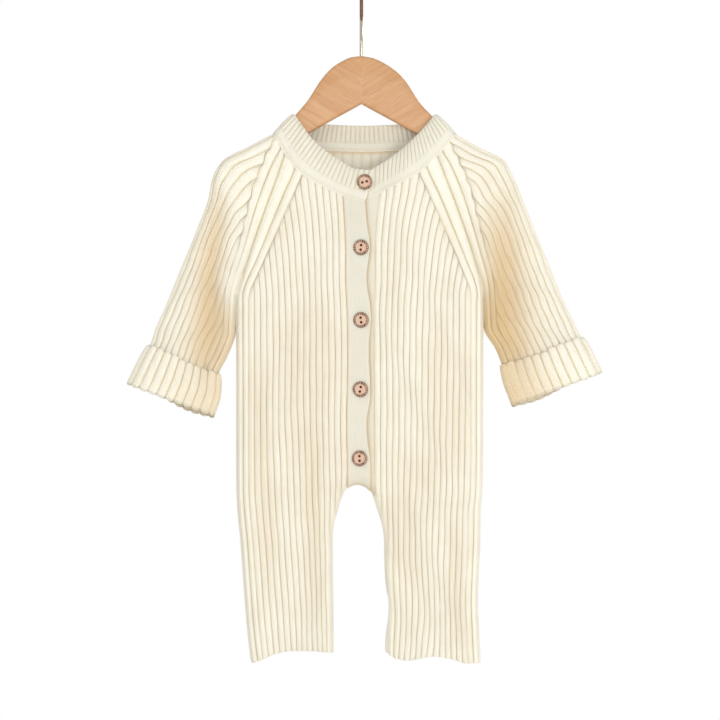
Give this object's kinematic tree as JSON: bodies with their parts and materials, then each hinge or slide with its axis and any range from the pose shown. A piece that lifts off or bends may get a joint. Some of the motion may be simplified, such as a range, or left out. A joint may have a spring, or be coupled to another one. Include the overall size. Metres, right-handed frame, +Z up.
{
  "type": "rib-knit baby romper on a wooden hanger",
  "caption": "Long-sleeved one-piece in cream rib knit with raglan sleeves, turned-back cuffs, straight open legs and a buttoned front, hung flat on a wooden hanger.",
  "frame": {"origin": "inner top of the hanger's hook, where a rail would touch it", "axes": "+X to the viewer's right, +Y to the back, +Z up; the garment hangs down along -Z"},
  "size_m": [0.4528, 0.0514, 0.6505],
  "materials": {
    "rib_knit_cream": "soft chunky cotton rib knit, cream, matt",
    "rib_knit_neckband": "finer cotton rib, cream, matt",
    "plain_knit_cream": "fine plain cotton knit, cream, matt",
    "button_wood": "engraved wood, oiled, satin",
    "beech": "lacquered beech, satin",
    "hook_steel": "nickel-plated steel wire, bright",
    "hook_vinyl": "brown dipped vinyl"
  },
  "bodies": {
    "root": {"front_left": "rib_knit_cream", "front_right": "rib_knit_cream", "back": "rib_knit_cream", "sleeve_left": "rib_knit_cream", "sleeve_right": "rib_knit_cream", "cuff_left": "rib_knit_cream", "cuff_right": "rib_knit_cream", "neckband": "rib_knit_neckband", "button_band": "plain_knit_cream", "button_stand": "plain_knit_cream", "button_1": "button_wood", "button_2": "button_wood", "button_3": "button_wood", "button_4": "button_wood", "button_5": "button_wood", "hanger_left": "beech", "hanger_right": "beech", "hook": "hook_steel", "hook_tip": "hook_vinyl"}
  },
  "joints": []
}
